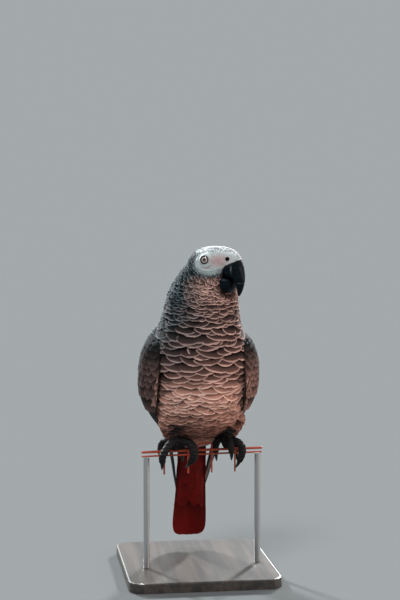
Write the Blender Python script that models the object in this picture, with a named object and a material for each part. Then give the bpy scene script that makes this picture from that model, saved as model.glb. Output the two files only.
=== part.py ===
"""A life-size grey parrot standing upright on a short cut length of cage rim, held by a plain stand.

Metres, +Z up. The parrot faces -Y, so its left side is +X. The origin is the middle of the stand's
underside. Lengths below are in millimetres and become metres through mm(). The bird's own places are
measured from PERCH, the middle of its grip on the rim.
"""

import math

import bmesh
import bpy
import numpy as np
from mathutils import Matrix, Vector

# Driving dimensions, in millimetres
PERCH = (0.0, -22.0, 130.0)  # the middle of the feet's grip, from the origin
GAP = 0.3  # left between two pieces that meet
RING = 24  # corners of a section of the trunk

HEAD_CENTRE = (9.1, -20.9, 182.0)
HEAD_YAW = 44.0  # degrees to the bird's left
EYE_RADIUS = 6.0
EYE_PLACE = (5.4, 14.0, 6.2)  # ahead, aside and up from the head's centre
NOSTRIL_PLACE = (27.0, 8.9, 7.2)
NOSTRIL_RADIUS = 1.5

FOOT_X = {"right": -24.0, "left": 30.0}
PERCH_YAW = 5.0  # degrees, the rim's left end further back
CLAW_RADIUS = 2.2
CLAW_LENGTH = 9.5

WIRE_RADIUS = 1.3
STUB_RADIUS = 0.9
STUB_PLACES = (-34.8, -10.3, 37.8)
STUB_LENGTH = 26.0
WIRE_SPACING = 4.2
WIRE_Z = -3.3  # middle of the top wire, from PERCH
RIM_ENDS = (-57.0, 65.0)
ROD_RADIUS = 3.0
BASE_SIZE = (150.0, 170.0, 10.0)
BASE_CORNER = 14.0

SIDES = {"right": -1, "left": 1}

MATERIALS = {  # name: (colour, roughness, metallic)
    "feather": ((0.16, 0.16, 0.165), 0.85, 0.0),
    "wing_feather": ((0.075, 0.08, 0.085), 0.75, 0.0),
    "tail_feather": ((0.55, 0.03, 0.02), 0.75, 0.0),
    "face_skin": ((0.62, 0.6, 0.58), 0.7, 0.0),
    "bill": ((0.015, 0.017, 0.019), 0.3, 0.0),
    "eye": ((0.6, 0.55, 0.45), 0.1, 0.0),
    "foot_skin": ((0.045, 0.045, 0.05), 0.65, 0.0),
    "claw": ((0.012, 0.012, 0.013), 0.35, 0.0),
    "rim_paint": ((0.26, 0.035, 0.012), 0.6, 0.3),
    "stand_base": ((0.03, 0.028, 0.027), 0.5, 0.0),
    "stand_rod": ((0.3, 0.3, 0.31), 0.3, 1.0),
}


def mm(point):
    """A point in millimetres, in metres."""
    return Vector(point) * 0.001


def bird(x, y, z):
    """A point measured from the perch, in millimetres from the origin."""
    return (x + PERCH[0], y + PERCH[1], z + PERCH[2])


def head(ahead, aside, up):
    """A point measured from the head's centre along the way it faces; aside is to the bird's left."""
    yaw = math.radians(HEAD_YAW)
    x = HEAD_CENTRE[0] + ahead * math.sin(yaw) + aside * math.cos(yaw)
    y = HEAD_CENTRE[1] - ahead * math.cos(yaw) + aside * math.sin(yaw)
    return bird(x, y, HEAD_CENTRE[2] + up)


def rim(x, y, z):
    """A point measured along the rim (x), behind it (y) and above its top (z)."""
    yaw = math.radians(PERCH_YAW)
    return bird(x * math.cos(yaw) - y * math.sin(yaw), x * math.sin(yaw) + y * math.cos(yaw), z)


def through(keys, count):
    """count points on a smooth curve through the keys, which may have any number of coordinates."""
    keys = np.array(keys, float)
    padded = np.vstack([2 * keys[0] - keys[1], keys, 2 * keys[-1] - keys[-2]])
    found = []
    for t in np.linspace(0, len(keys) - 1, count):
        i = min(int(t), len(keys) - 2)
        u = t - i
        a, b, c, d = padded[i : i + 4]
        square = (2 * a - 5 * b + 4 * c - d) * u**2
        cube = (3 * b - a - 3 * c + d) * u**3
        found.append((2 * b + (c - a) * u + square + cube) / 2)
    return np.array(found)


def clear_scene():
    for found in list(bpy.data.objects):
        bpy.data.objects.remove(found)


def material(name):
    if name in bpy.data.materials:
        return bpy.data.materials[name]
    colour, roughness, metallic = MATERIALS[name]
    made = bpy.data.materials.new(name)
    made.use_nodes = True
    shader = made.node_tree.nodes["Principled BSDF"]
    shader.inputs["Base Color"].default_value = (*colour, 1)
    shader.inputs["Roughness"].default_value = roughness
    shader.inputs["Metallic"].default_value = metallic
    return made


def add(name, bm, finish):
    """Makes an object from a bmesh, with its faces turned outwards."""
    bmesh.ops.recalc_face_normals(bm, faces=bm.faces)
    if bm.calc_volume(signed=True) < 0:
        bmesh.ops.reverse_faces(bm, faces=bm.faces)
    mesh = bpy.data.meshes.new(name)
    bm.to_mesh(mesh)
    bm.free()
    mesh.shade_smooth()
    mesh.set_sharp_from_angle(angle=math.radians(50))
    mesh.materials.append(material(finish))
    made = bpy.data.objects.new(name, mesh)
    bpy.context.scene.collection.objects.link(made)
    return made


def loft(name, rings, finish):
    """A closed skin over rings of as many points each, in millimetres, closed straight across its ends."""
    bm = bmesh.new()
    loops = [[bm.verts.new(mm(p)) for p in ring] for ring in rings]
    for one, two in zip(loops, loops[1:]):
        for i in range(len(one)):
            j = (i + 1) % len(one)
            bm.faces.new((one[i], one[j], two[j], two[i]))
    for loop in (loops[0], loops[-1]):
        half = len(loop) // 2
        for i in range(half - 1):
            bm.faces.new((loop[i], loop[i + 1], loop[-i - 2], loop[-i - 1]))
    bmesh.ops.triangulate(bm, faces=bm.faces)
    return add(name, bm, finish)


def tube(name, keys, finish, sides=12, count=12, flat=1.0, side=(1, 0, 0)):
    """A round rod through keys of (x, y, z, radius), with a dome on each end. flat is height over width."""
    points = through(keys, count)
    rings = []
    for i, (x, y, z, radius) in enumerate(points):
        before, after = points[max(i - 1, 0)][:3], points[min(i + 1, count - 1)][:3]
        along = Vector(after - before).normalized()
        across = (Vector(side) - along * along.dot(Vector(side))).normalized()
        above = along.cross(across)
        ends = [(0.0, 1.0)]
        if i in (0, count - 1):
            steps = [(math.sin(a), math.cos(a)) for a in (math.radians(d) for d in (0, 50))]
            ends = [(s, c) for s, c in steps] if i else [(-s, c) for s, c in reversed(steps)]
        for shift, share in ends:
            middle = Vector((x, y, z)) + along * shift * radius
            wide, high = across * radius * share, above * radius * share * flat
            turns = [2 * math.pi * k / sides for k in range(sides)]
            rings.append([middle + wide * math.cos(a) + high * math.sin(a) for a in turns])
    return loft(name, rings, finish)


def grown(source, distance=GAP):
    """A copy of a closed object, swollen by distance millimetres, to cut room for it."""
    bm = bmesh.new()
    bm.from_mesh(source.data)
    bm.normal_update()
    moved = [v.co + v.normal * distance * 0.001 for v in bm.verts]
    for v, place in zip(bm.verts, moved):
        v.co = place
    return add(source.name + "_room", bm, source.data.materials[0].name)


def carve(target, cutter, operation="DIFFERENCE"):
    """Cuts cutter out of target, or joins it on. The cutter stays, to be cut out of more."""
    modifier = target.modifiers.new("carve", "BOOLEAN")
    modifier.operation = operation
    modifier.object = cutter
    modifier.solver = "EXACT"
    bpy.context.view_layer.update()
    graph = bpy.context.evaluated_depsgraph_get()
    mesh = bpy.data.meshes.new_from_object(target.evaluated_get(graph))
    target.modifiers.clear()
    target.data = mesh
    cutter.hide_render = True
    cutter.display_type = "WIRE"
    return target


def drop_scraps(bm):
    """Leaves only the biggest of the separate pieces that cuts have made."""
    pieces, left = [], set(bm.verts)
    while left:
        edge = [left.pop()]
        piece = set(edge)
        while edge:
            near = {e.other_vert(v) for v in edge for e in v.link_edges} - piece
            piece |= near
            edge = list(near)
        left -= piece
        pieces.append(piece)
    for piece in sorted(pieces, key=len)[:-1]:
        bmesh.ops.delete(bm, geom=list(piece), context="VERTS")


def keep_between(body, name, finish, below=None, above=None):
    """The stretch of body over the plane below and under the plane above, each a (point, normal)."""
    bm = bmesh.new()
    bm.from_mesh(body.data)
    for plane, sign in ((below, -1), (above, 1)):
        if plane is None:
            continue
        point, normal = plane
        bmesh.ops.bisect_plane(
            bm,
            geom=bm.verts[:] + bm.edges[:] + bm.faces[:],
            plane_co=mm(point),
            plane_no=Vector(normal) * sign,
            clear_outer=True,
        )
        bmesh.ops.holes_fill(bm, edges=[e for e in bm.edges if e.is_boundary], sides=0)
    bmesh.ops.triangulate(bm, faces=[f for f in bm.faces if len(f.verts) > 4])
    drop_scraps(bm)
    return add(name, bm, finish)


# Keys of the trunk and neck, from inside the head to the vent: the front and back points of a section in
# the middle plane (y and z of each), its half width and how far it stands to the left.
BODY_KEYS = [
    (-31, 190, -6, 192, 11, 7.8),
    (-33, 181, -1, 185.5, 20, 6.4),
    (-39.5, 168, 5.5, 175, 28.2, 4.8),
    (-43.5, 152, 14.5, 159, 34, 2.4),
    (-44.5, 135, 25, 141, 36.8, 1.4),
    (-46, 119, 33, 126, 40.5, 0.6),
    (-47.5, 104, 39, 112, 45, 0),
    (-48, 88, 43, 97, 48, 0),
    (-46.5, 70, 46, 82, 48.8, 0),
    (-42.5, 52, 48.5, 68, 48, 0),
    (-35, 34, 50.5, 54, 46, 0),
    (-21, 20, 53, 40, 42, 0),
    (0, 11.5, 56, 26, 35.5, 0),
    (19, 2, 58, 12, 28, 0),
    (33, -5, 58.5, 0, 20, 0),
    (44, -9, 57, -8, 10, 0),
]


def body_rings():
    rings = []
    for front_y, front_z, back_y, back_z, half, aside in through(BODY_KEYS, 21):
        middle = Vector((aside, (front_y + back_y) / 2, (front_z + back_z) / 2))
        ahead = Vector((0, front_y - back_y, front_z - back_z)) / 2
        across = Vector((half, 0, 0))
        turns = [2 * math.pi * k / RING for k in range(RING)]
        rings.append([bird(*(middle + ahead * math.cos(a) + across * math.sin(a))) for a in turns])
    return rings


# Keys of the head: how far ahead of its centre, its top, its underside and its half width.
HEAD_KEYS = [
    (-21.8, 6, -9, 6.5),
    (-19.5, 11.5, -20, 12.5),
    (-13, 15.5, -25, 17.2),
    (-5, 17.8, -27, 19.2),
    (3, 18.6, -27, 19.3),
    (10, 18.8, -27, 18.4),
    (17, 18.3, -28, 15.8),
    (23, 17.1, -28, 12.8),
    (28, 15.2, -27, 10.4),
    (32.5, 12, -24, 7.8),
    (36.3, 8.0, -20, 4.4),
]
HEAD_SIDES = 20
CHEEK = 0.42  # how far down the head its widest line lies, from 0 at the top to 1


def head_rings():
    rings = []
    for ahead, top, under, half in through(HEAD_KEYS, 13):
        widest = top + (under - top) * CHEEK
        ring = []
        for k in range(HEAD_SIDES):
            angle = 2 * math.pi * k / HEAD_SIDES
            rise = math.cos(angle)
            reach = top - widest if rise > 0 else widest - under
            ring.append(head(ahead, half * math.sin(angle), widest + reach * rise))
        rings.append(ring)
    return rings


# The outline that parts the head from both halves of the bill: points ahead of and above the head's centre.
BILL_ROOT = [
    (40, 26),
    (37.4, 8),
    (35, 5.6),
    (33, 3),
    (29.2, 1.2),
    (25.2, -1),
    (22, -6.5),
    (20.4, -11.5),
    (19.8, -14),
    (19.4, -24),
    (21.3, -28),
    (60, -42.5),
    (60, 26),
]


def bill_room(name, back):
    """A slab right across the head, in front of BILL_ROOT moved back by that many millimetres."""
    bm = bmesh.new()
    sides = []
    for aside in (-40, 40):
        sides.append([bm.verts.new(mm(head(ahead - back, aside, up))) for ahead, up in BILL_ROOT])
    bm.faces.new(sides[0])
    bm.faces.new(list(reversed(sides[1])))
    for i in range(len(BILL_ROOT)):
        j = (i + 1) % len(BILL_ROOT)
        bm.faces.new((sides[0][i], sides[1][i], sides[1][j], sides[0][j]))
    return add(name, bm, "bill")


def bill_loft(name, keys, ridge, sides=14, count=10):
    """A half of the bill over keys of (ahead, up) on its outer edge, the same on its inner edge, and half
    width. Its outer side is round, pinched by ridge, and its inner side is flat, with two cutting edges."""
    rings = []
    for outer_f, outer_z, inner_f, inner_z, half in through(keys, count):
        ring = []
        for k in range(sides):
            angle = 2 * math.pi * (k + 0.5) / sides
            rise, wide = math.cos(angle), math.sin(angle)
            if rise < 0:
                rise, wide = -(abs(rise) ** 0.6), math.copysign(abs(wide) ** 0.5, wide)
            else:
                wide *= 1 - ridge * rise
            share = 0.5 + 0.5 * rise
            ahead = inner_f + (outer_f - inner_f) * share
            up = inner_z + (outer_z - inner_z) * share
            ring.append(head(ahead, half * wide, up))
        rings.append(ring)
    return loft(name, rings, "bill")


UPPER_BILL_KEYS = [  # along the culmen and the cutting edge, from inside the head to the tip
    (22, 13.5, 12, -7, 13.8),
    (31, 10.8, 19, -8.5, 13.0),
    (35.8, 6.2, 25.5, -9.8, 10.8),
    (38.8, -2, 30, -12, 8.3),
    (40.4, -10, 32, -14.6, 6.0),
    (40.1, -16.2, 33, -18, 4.6),
    (38.5, -22.2, 33.4, -22.2, 3.2),
    (36.4, -26.4, 33.6, -25.9, 1.9),
    (34.5, -28.7, 33.7, -28.4, 0.7),
]
LOWER_BILL_KEYS = [  # under and in front, then along the cutting edge
    (10, -22.4, 12, -9.5, 13.2),
    (17, -25.2, 18, -9.8, 12.6),
    (22, -26.1, 22.5, -10.4, 10.8),
    (26.1, -24.2, 25.9, -11.4, 8.2),
    (28.4, -19.9, 27.8, -12.8, 5.6),
    (29.2, -16.3, 28.8, -14.4, 2.8),
]


def make_head_parts():
    eyes = []
    for side, sign in SIDES.items():
        ahead, aside, up = EYE_PLACE
        bm = bmesh.new()
        bmesh.ops.create_uvsphere(bm, u_segments=14, v_segments=8, radius=EYE_RADIUS * 0.001)
        bmesh.ops.translate(bm, verts=bm.verts, vec=mm(head(ahead, sign * aside, up)))
        eyes.append(add(f"eye_{side}", bm, "eye"))
    front = bill_room("front", -GAP)
    upper = carve(bill_loft("bill_upper", UPPER_BILL_KEYS, 0.25), front, "INTERSECT")
    lower = carve(bill_loft("bill_lower", LOWER_BILL_KEYS, 0.0), front, "INTERSECT")
    carve(lower, grown(upper))
    return eyes


# Keys of the left wing from the shoulder to the tip: points of its front edge, of its outermost line and of
# its back edge, and its thickness there.
WING_KEYS = [
    ((38.5, -10, 113), (42, 6, 119), (33, 21, 120), 2.0),
    ((41.5, -24, 104), (52, 0, 109), (29, 33, 114), 7.0),
    ((43, -29, 90), (58, 2, 93), (24, 42, 100), 9.5),
    ((43.5, -29, 72), (59.5, 6, 75), (19, 49, 82), 10.5),
    ((44.5, -20, 50), (57, 14, 54), (15, 55, 62), 10.0),
    ((43, -2, 30), (46.5, 22, 34), (12, 60, 40), 8.5),
    ((31, 16, 8), (32, 37, 12), (10, 64, 16), 7.0),
    ((23, 36, -16), (23.5, 51, -14), (8, 69, -10), 5.5),
    ((18, 53, -42), (18, 64, -41), (6.5, 77, -37), 4.5),
    ((12, 70, -70), (12, 77, -70), (5.5, 85, -66), 3.4),
    ((7.0, 85, -93), (7.2, 88, -94), (4.2, 91, -92), 2.0),
]
WING_STEPS = 9  # points across the wing


def wing_rings(sign):
    flat = [(*a, *b, *c, t) for a, b, c, t in WING_KEYS]
    rings = []
    for row in through(flat, 19):
        front, outer, back = Vector(row[0:3]), Vector(row[3:6]), Vector(row[6:9])
        pull = outer * 2 - (front + back) / 2  # the curve's middle then passes through outer
        skin, inside = [], []
        for k in range(WING_STEPS):
            t = k / (WING_STEPS - 1)
            place = front * (1 - t) ** 2 + pull * 2 * t * (1 - t) + back * t**2
            along = (pull - front) * (1 - t) + (back - pull) * t
            inward = Vector((0, 0, 1)).cross(along).normalized()
            depth = 1.2 + (row[9] - 1.2) * math.sin(math.pi * t) ** 0.6
            skin.append(place)
            inside.append(place + inward * depth)
        rings.append([bird(p.x * sign, p.y, p.z) for p in skin + inside[::-1]])
    return rings


# Keys of the tail down its middle line: y and z, half width and half thickness.
TAIL_KEYS = [
    (45, 2, 14.5, 8.0),
    (50, -14, 15.0, 7.0),
    (56, -34, 15.2, 4.8),
    (64, -60, 16.2, 3.0),
    (72, -85, 17.6, 2.1),
    (77.5, -102, 17.6, 1.6),
    (79.5, -108, 13.0, 1.0),
]


def tail_rings(sides=14):
    points = through(TAIL_KEYS, 9)
    rings = []
    for i, (y, z, half, thin) in enumerate(points):
        before, after = points[max(i - 1, 0)], points[min(i + 1, len(points) - 1)]
        along = Vector((0, after[0] - before[0], after[1] - before[1])).normalized()
        above = Vector((1, 0, 0)).cross(along)
        ring = []
        for k in range(sides):
            angle = 2 * math.pi * k / sides
            across = math.copysign(abs(math.cos(angle)) ** 0.7, math.cos(angle))
            arch = 0.12 * half * (1 - across**2)
            place = Vector((half * across, y, z)) + above * (thin * math.sin(angle) - arch)
            ring.append(bird(*place))
        rings.append(ring)
    return rings


THIGH_OUT = {"right": 0.5, "left": 2.5}  # how far its thigh stands outside a foot
# Keys of a feathered thigh's level sections, from inside the trunk down: y and z of the middle, radius.
THIGH_KEYS = [
    (8, 49, 4),
    (7, 45, 10.5),
    (2, 37, 15),
    (0.5, 28, 15.5),
    (3, 20, 13.3),
    (6.5, 13, 10),
    (8.5, 8, 6.8),
    (9.2, 5.6, 2.6),
]


def thigh_rings(side, sides=14):
    middle = FOOT_X[side] + SIDES[side] * THIGH_OUT[side]
    rings = []
    for y, z, radius in through(THIGH_KEYS, 9):
        turns = (2 * math.pi * k / sides for k in range(sides))
        rings.append([rim(middle + radius * math.cos(a), y + radius * math.sin(a), z) for a in turns])
    return rings


# Each toe's middle line from the palm along the rim's axes, with its radius: x, y, z, r for each place.
# Toes 2 (inner) and 3 (outer) reach over the front of the rim, and toes 1 and 4 behind it.
TOES = {
    "right": {
        1: [(3, 3, 6.2, 3.6), (7, 8.5, 5.4, 3.6), (9.5, 11.5, 0, 3.3), (9.5, 11, -7, 2.8)],
        2: [
            (2, -1, 6.6, 4.0),
            (9.8, -5.5, 7.4, 4.3),
            (15.4, -9, 3, 4.3),
            (17.4, -10, -3, 4.2),
            (17, -9, -9, 3.9),
            (14.8, -6, -13.5, 3.2),
        ],
        3: [
            (-1.5, -1.5, 6.4, 4.0),
            (-6.5, -5.5, 4.2, 3.7),
            (-11.5, -8, -1.5, 3.6),
            (-14.4, -8, -7.5, 3.4),
            (-14, -6, -13, 2.9),
        ],
        4: [(-4, 3, 6.2, 3.6), (-9, 8.5, 5.4, 3.6), (-12, 11.5, 0, 3.3), (-12, 11, -8, 2.8)],
    },
    "left": {
        1: [(-3, 3, 6.2, 3.6), (-7, 8.5, 5.4, 3.6), (-9.5, 11.5, 0, 3.3), (-9.5, 11, -7, 2.8)],
        2: [(-1, -1.5, 6.4, 3.6), (-0.2, -6.5, 5.0, 3.4), (1.2, -9.4, 0.4, 3.2), (1.6, -9.4, -4.5, 2.7)],
        3: [
            (2.5, -1.5, 6.2, 3.9),
            (8.6, -5.5, 5.0, 3.8),
            (12.8, -8.2, -0.5, 3.6),
            (13, -8, -7.5, 3.3),
            (11, -6, -14, 2.8),
        ],
        4: [(4, 3, 6.2, 3.6), (9, 8.5, 5.4, 3.6), (12, 11.5, 0, 3.3), (12, 11, -8, 2.8)],
    },
}
CLAW_CURL = [  # along the toe and inwards, as shares of a claw's length, and share of its radius
    (-0.15, 0, 1.0),
    (0.3, 0.04, 0.9),
    (0.65, 0.16, 0.6),
    (0.97, 0.34, 0.16),
]


def make_foot(side):
    """The shank with its palm, four toes and four claws of one foot. Gives back the room its toes take."""
    base = FOOT_X[side]
    keys = [(0, 3.6, 6.6), (0.5, 7.5, 6.4), (1.5, 13, 4.7), (3.5, 20, 4.4)]  # y, z and radius
    places = [(*rim(base, y, z), radius) for y, z, radius in keys]
    shank = tube(f"shank_{side}", places, "foot_skin", sides=10, count=5, flat=0.8)
    rooms = [grown(shank)]
    for number, keys in TOES[side].items():
        places = [(*rim(base + x, y, z), radius) for x, y, z, radius in keys]
        count = 2 + len(keys)
        toe = tube(f"toe_{side}_{number}", places, "foot_skin", sides=8, count=count, flat=0.95)
        room = grown(toe)
        end, before = Vector(keys[-1][:3]), Vector(keys[-2][:3])
        onwards = (end - before).normalized() * CLAW_LENGTH
        inwards = Vector((0, -math.copysign(CLAW_LENGTH, end.y), 0))
        places = []
        for on, inside, share in CLAW_CURL:
            place = end + onwards * on + inwards * inside
            places.append((*rim(base + place.x, place.y, place.z), CLAW_RADIUS * share))
        claw = tube(f"claw_{side}_{number}", places, "claw", sides=6, count=5)
        carve(claw, room)
        for other in rooms:
            carve(toe, other)
        rooms.append(room)
    return shank, rooms[1:]


def make_rim():
    """The cut length of cage rim: two welded wires, cut uprights, and one bent over into a hook."""
    low, high = RIM_ENDS
    along = {"sides": 6, "count": 2, "side": (0, 0, 1)}
    ends = [(*rim(x, 0, WIRE_Z), WIRE_RADIUS) for x in (low, high)]
    top = tube("perch_rim", ends, "rim_paint", **along)
    ends = [(*rim(x, 0.4, WIRE_Z - WIRE_SPACING), STUB_RADIUS) for x in (low, high)]
    carve(top, tube("second", ends, "rim_paint", **along), "UNION")
    for x in STUB_PLACES:
        ends = [(*rim(x, 0.9, z), STUB_RADIUS) for z in (WIRE_Z - 0.4, -STUB_LENGTH)]
        carve(top, tube("stub", ends, "rim_paint", sides=6, count=2), "UNION")
    hook = [
        (-1, 0.2, WIRE_Z + 0.4),
        (-1, 0.2, 0.8),
        (0.6, 0.1, 2.8),
        (10.6, 0, 4.0),
        (13.2, 0.2, 2.4),
        (13.8, 0.9, -5),
        (13.8, 0.9, -STUB_LENGTH),
    ]
    keys = [(*rim(*place), STUB_RADIUS) for place in hook]
    carve(top, tube("hook", keys, "rim_paint", sides=6, count=12, side=(0, 1, 0)), "UNION")


def make_stand():
    width, depth, height = BASE_SIZE
    bm = bmesh.new()
    outline = []
    for cx, cy, start in ((1, -1, -90), (1, 1, 0), (-1, 1, 90), (-1, -1, 180)):
        for step in range(5):
            angle = math.radians(start + step * 22.5)
            x = cx * (width / 2 - BASE_CORNER) + BASE_CORNER * math.cos(angle)
            y = cy * (depth / 2 - BASE_CORNER) + BASE_CORNER * math.sin(angle)
            outline.append(bm.verts.new(mm((x, y, 0))))
    bottom = bm.faces.new(outline)
    top = bmesh.ops.extrude_face_region(bm, geom=[bottom])
    raised = [v for v in top["geom"] if isinstance(v, bmesh.types.BMVert)]
    bmesh.ops.translate(bm, verts=raised, vec=(0, 0, height * 0.001))
    rim_edges = [e for e in bm.edges if all(v.co.z > height * 0.0009 for v in e.verts)]
    bmesh.ops.bevel(bm, geom=rim_edges, offset=0.0015, segments=2, affect="EDGES", profile=0.5)
    add("stand_base", bm, "stand_base")
    for side, x in zip(("right", "left"), (RIM_ENDS[0] + 4, RIM_ENDS[1] - 4)):
        foot = rim(x, 0, -PERCH[2] + height + GAP)
        top = rim(x, 0, WIRE_Z - WIRE_SPACING - STUB_RADIUS - GAP)
        length = top[2] - foot[2]
        radius = ROD_RADIUS * 0.001
        middle = mm((foot[0], foot[1], foot[2] + length / 2))
        bm = bmesh.new()
        bmesh.ops.create_cone(
            bm, cap_ends=True, segments=20, radius1=radius, radius2=radius, depth=length * 0.001
        )
        bmesh.ops.translate(bm, verts=bm.verts, vec=middle)
        add(f"stand_rod_{side}", bm, "stand_rod")


def make_bird():
    eyes = make_head_parts()
    body = loft("body", body_rings(), "feather")
    carve(body, loft("skull", head_rings(), "feather"), "UNION")
    carve(body, bill_room("front", 0))
    for eye in eyes:
        carve(body, grown(eye))
    for sign in SIDES.values():
        ahead, aside, up = NOSTRIL_PLACE
        bm = bmesh.new()
        bmesh.ops.create_icosphere(bm, subdivisions=2, radius=NOSTRIL_RADIUS * 0.001)
        bmesh.ops.translate(bm, verts=bm.verts, vec=mm(head(ahead, sign * aside, up)))
        carve(body, add("nostril", bm, "feather"))

    wings = [loft(f"wing_{side}", wing_rings(sign), "wing_feather") for side, sign in SIDES.items()]
    wing_rooms = [grown(wing) for wing in wings]
    tail = loft("tail", tail_rings(), "tail_feather")
    tail_room = grown(tail)
    for room in wing_rooms:
        carve(tail, room)
        carve(body, room)
    carve(body, tail_room)

    for side in SIDES:
        shank, foot_rooms = make_foot(side)
        thigh = loft(f"thigh_{side}", thigh_rings(side), "feather")
        thigh_room = grown(thigh)
        carve(shank, thigh_room)
        carve(body, thigh_room)
        for room in wing_rooms + foot_rooms:
            carve(thigh, room)

    up = Vector((0, 0, 1))
    neck_line, head_line = Vector(bird(0, 0, 124)), Vector(bird(0, 0, 160))
    half = up * GAP / 2
    keep_between(body, "trunk", "feather", above=(neck_line - half, up))
    keep_between(body, "neck", "feather", below=(neck_line + half, up), above=(head_line - half, up))
    keep_between(body, "head", "feather", below=(head_line + half, up))
    bpy.data.objects.remove(body)


def drop_cutters():
    for found in list(bpy.data.objects):
        if found.hide_render:
            bpy.data.objects.remove(found)


clear_scene()
make_bird()
make_rim()
make_stand()
drop_cutters()
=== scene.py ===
"""The looks of the life-size grey parrot: one skin under solid feathers, eyes, bill, claws, perch and stand.

Arrays hold millimetres measured from the middle of the bird's grip, as the CAD does: +X is the bird's left,
-Y the way its body faces. row() turns them into metres in the row frame.
"""

import math

import bmesh
import bpy
import numpy as np
from mathutils import Matrix, Vector
from mathutils.bvhtree import BVHTree


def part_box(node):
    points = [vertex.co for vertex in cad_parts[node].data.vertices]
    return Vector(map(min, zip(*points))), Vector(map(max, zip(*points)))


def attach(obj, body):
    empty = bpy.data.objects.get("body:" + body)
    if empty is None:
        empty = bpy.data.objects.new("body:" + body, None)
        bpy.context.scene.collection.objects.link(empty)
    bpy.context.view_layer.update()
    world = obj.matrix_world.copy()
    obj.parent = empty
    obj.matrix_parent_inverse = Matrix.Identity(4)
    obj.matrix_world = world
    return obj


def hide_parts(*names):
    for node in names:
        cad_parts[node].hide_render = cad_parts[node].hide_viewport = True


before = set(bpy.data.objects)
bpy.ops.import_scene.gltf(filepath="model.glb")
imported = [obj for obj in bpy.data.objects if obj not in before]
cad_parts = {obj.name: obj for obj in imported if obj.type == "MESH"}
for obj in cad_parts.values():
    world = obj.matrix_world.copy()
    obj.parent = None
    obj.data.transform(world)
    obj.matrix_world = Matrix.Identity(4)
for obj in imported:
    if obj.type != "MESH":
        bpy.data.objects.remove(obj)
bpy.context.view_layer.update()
rng = np.random.default_rng(11)

PERCH = np.array((0.0, -22.0, 130.0))
WIRE_Z = -3.3  # height of the middle of the wire that the toes grip
TOE_ARC = 9.0  # length of toe per radian round that wire
HEAD_CENTRE = np.array((9.1, -20.9, 182.0))
HEAD_YAW = math.radians(44)
AHEAD = np.array((math.sin(HEAD_YAW), -math.cos(HEAD_YAW), 0.0))
ASIDE = np.array((math.cos(HEAD_YAW), math.sin(HEAD_YAW), 0.0))
UP = np.array((0.0, 0.0, 1.0))
EYE_PLACE = (5.4, 14.0, 6.2)  # ahead, aside and up from the head's centre
NOSTRIL_PLACE = (27.0, 8.9, 7.2)
EYE_RADIUS = 6.0
EYE_TURN = math.radians(17)  # how far each eye looks ahead of straight sideways
LID = 3.8  # radius of the eye's opening
PATCH = 0.003  # side of a feather's patch in the OFBake map

VOXEL = 1.5  # grids that the CAD nodes are copied on, in millimetres
TAIL_VOXEL = 1.0
FOOT_VOXEL = 0.6
BILL_VOXEL = 0.45
CLAW_VOXEL = 0.32

SIDES = {"left": 1, "right": -1}
SHANKS = [f"shank_{side}" for side in SIDES]
THIGHS = [f"thigh_{side}" for side in SIDES]
WINGS = [f"wing_{side}" for side in SIDES]
TOES = [f"toe_{side}_{n}" for side in SIDES for n in (1, 2, 3, 4)]
CLAWS = [f"claw_{side}_{n}" for side in SIDES for n in (1, 2, 3, 4)]
BODY = ["head", "neck", "trunk", *THIGHS]


# ---------------------------------------------------------------- numbers and meshes


def row(points):
    return (np.asarray(points) + PERCH) * 0.001


def in_head(points):
    """Points as ahead, aside and up from the head's centre."""
    away = np.asarray(points) - HEAD_CENTRE
    return np.stack([away @ AHEAD, away @ ASIDE, away @ UP], -1)


def from_head(place, sign=1):
    """The point that lies ahead, aside and up from the head's centre, on its left for sign 1."""
    return HEAD_CENTRE + place[0] * AHEAD + place[1] * sign * ASIDE + place[2] * UP


def unit(v):
    return v / np.maximum(np.linalg.norm(v, axis=-1, keepdims=True), 1e-9)


def step(x, low, high):
    """0 at low, 1 at high, smooth between."""
    t = np.clip((x - low) / (high - low), 0, 1)
    return t * t * (3 - 2 * t)


def spot(points, middle, size, full):
    """0 outside the ellipse of that middle and half size in a plane, 1 within its share full."""
    return step(-np.hypot(*((points - middle) / size).T), -1, -full)


def per_vane(values):
    """One value or one vector a vane, shaped to act on a whole grid of vanes."""
    return values[:, None, None]


def bell(x, middle, width):
    return np.exp(-(((x - middle) / width) ** 2))


def mix(a, b, share):
    return a + (b - a) * np.asarray(share)[..., None]


def colour(red, green, blue):
    """A colour given as on a screen, 0 to 255, as the linear one that a shader takes."""
    c = np.array((red, green, blue)) / 255
    return np.where(c < 0.04045, c / 12.92, ((c + 0.055) / 1.055) ** 2.4)


def curve(keys, t):
    """Points on the smooth curve through keys at places t, counted in keys from 0."""
    keys = np.array(keys, float)
    padded = np.vstack([2 * keys[0] - keys[1], keys, 2 * keys[-1] - keys[-2]])
    i = np.clip(np.floor(t).astype(int), 0, len(keys) - 2)
    u = (t - i)[..., None]
    a, b, c, d = (padded[i + k] for k in range(4))
    square = (2 * a - 5 * b + 4 * c - d) * u**2
    cube = (3 * b - a - 3 * c + d) * u**3
    return (2 * b + (c - a) * u + square + cube) / 2


def as_mesh(bm, name):
    """The bmesh as a mesh; the bmesh goes."""
    mesh = bpy.data.meshes.new(name)
    bm.to_mesh(mesh)
    bm.free()
    return mesh


def make_object(name, data):
    made = bpy.data.objects.new(name, data)
    bpy.context.scene.collection.objects.link(made)
    return made


def finished(name, mesh, finish):
    """An object of one material that rides on the body."""
    mesh.materials.clear()
    mesh.materials.append(finish)
    made = make_object(name, mesh)
    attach(made, "root")
    return made


def set_attribute(mesh, name, values):
    """One number or one colour for each vertex."""
    values = np.asarray(values, np.float32)
    if values.ndim == 1:
        mesh.attributes.new(name, "FLOAT", "POINT").data.foreach_set("value", values)
    else:
        layer = mesh.attributes.new(name, "FLOAT_COLOR", "POINT")
        layer.data.foreach_set("color", np.insert(values, 3, 1, axis=1).ravel())


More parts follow.
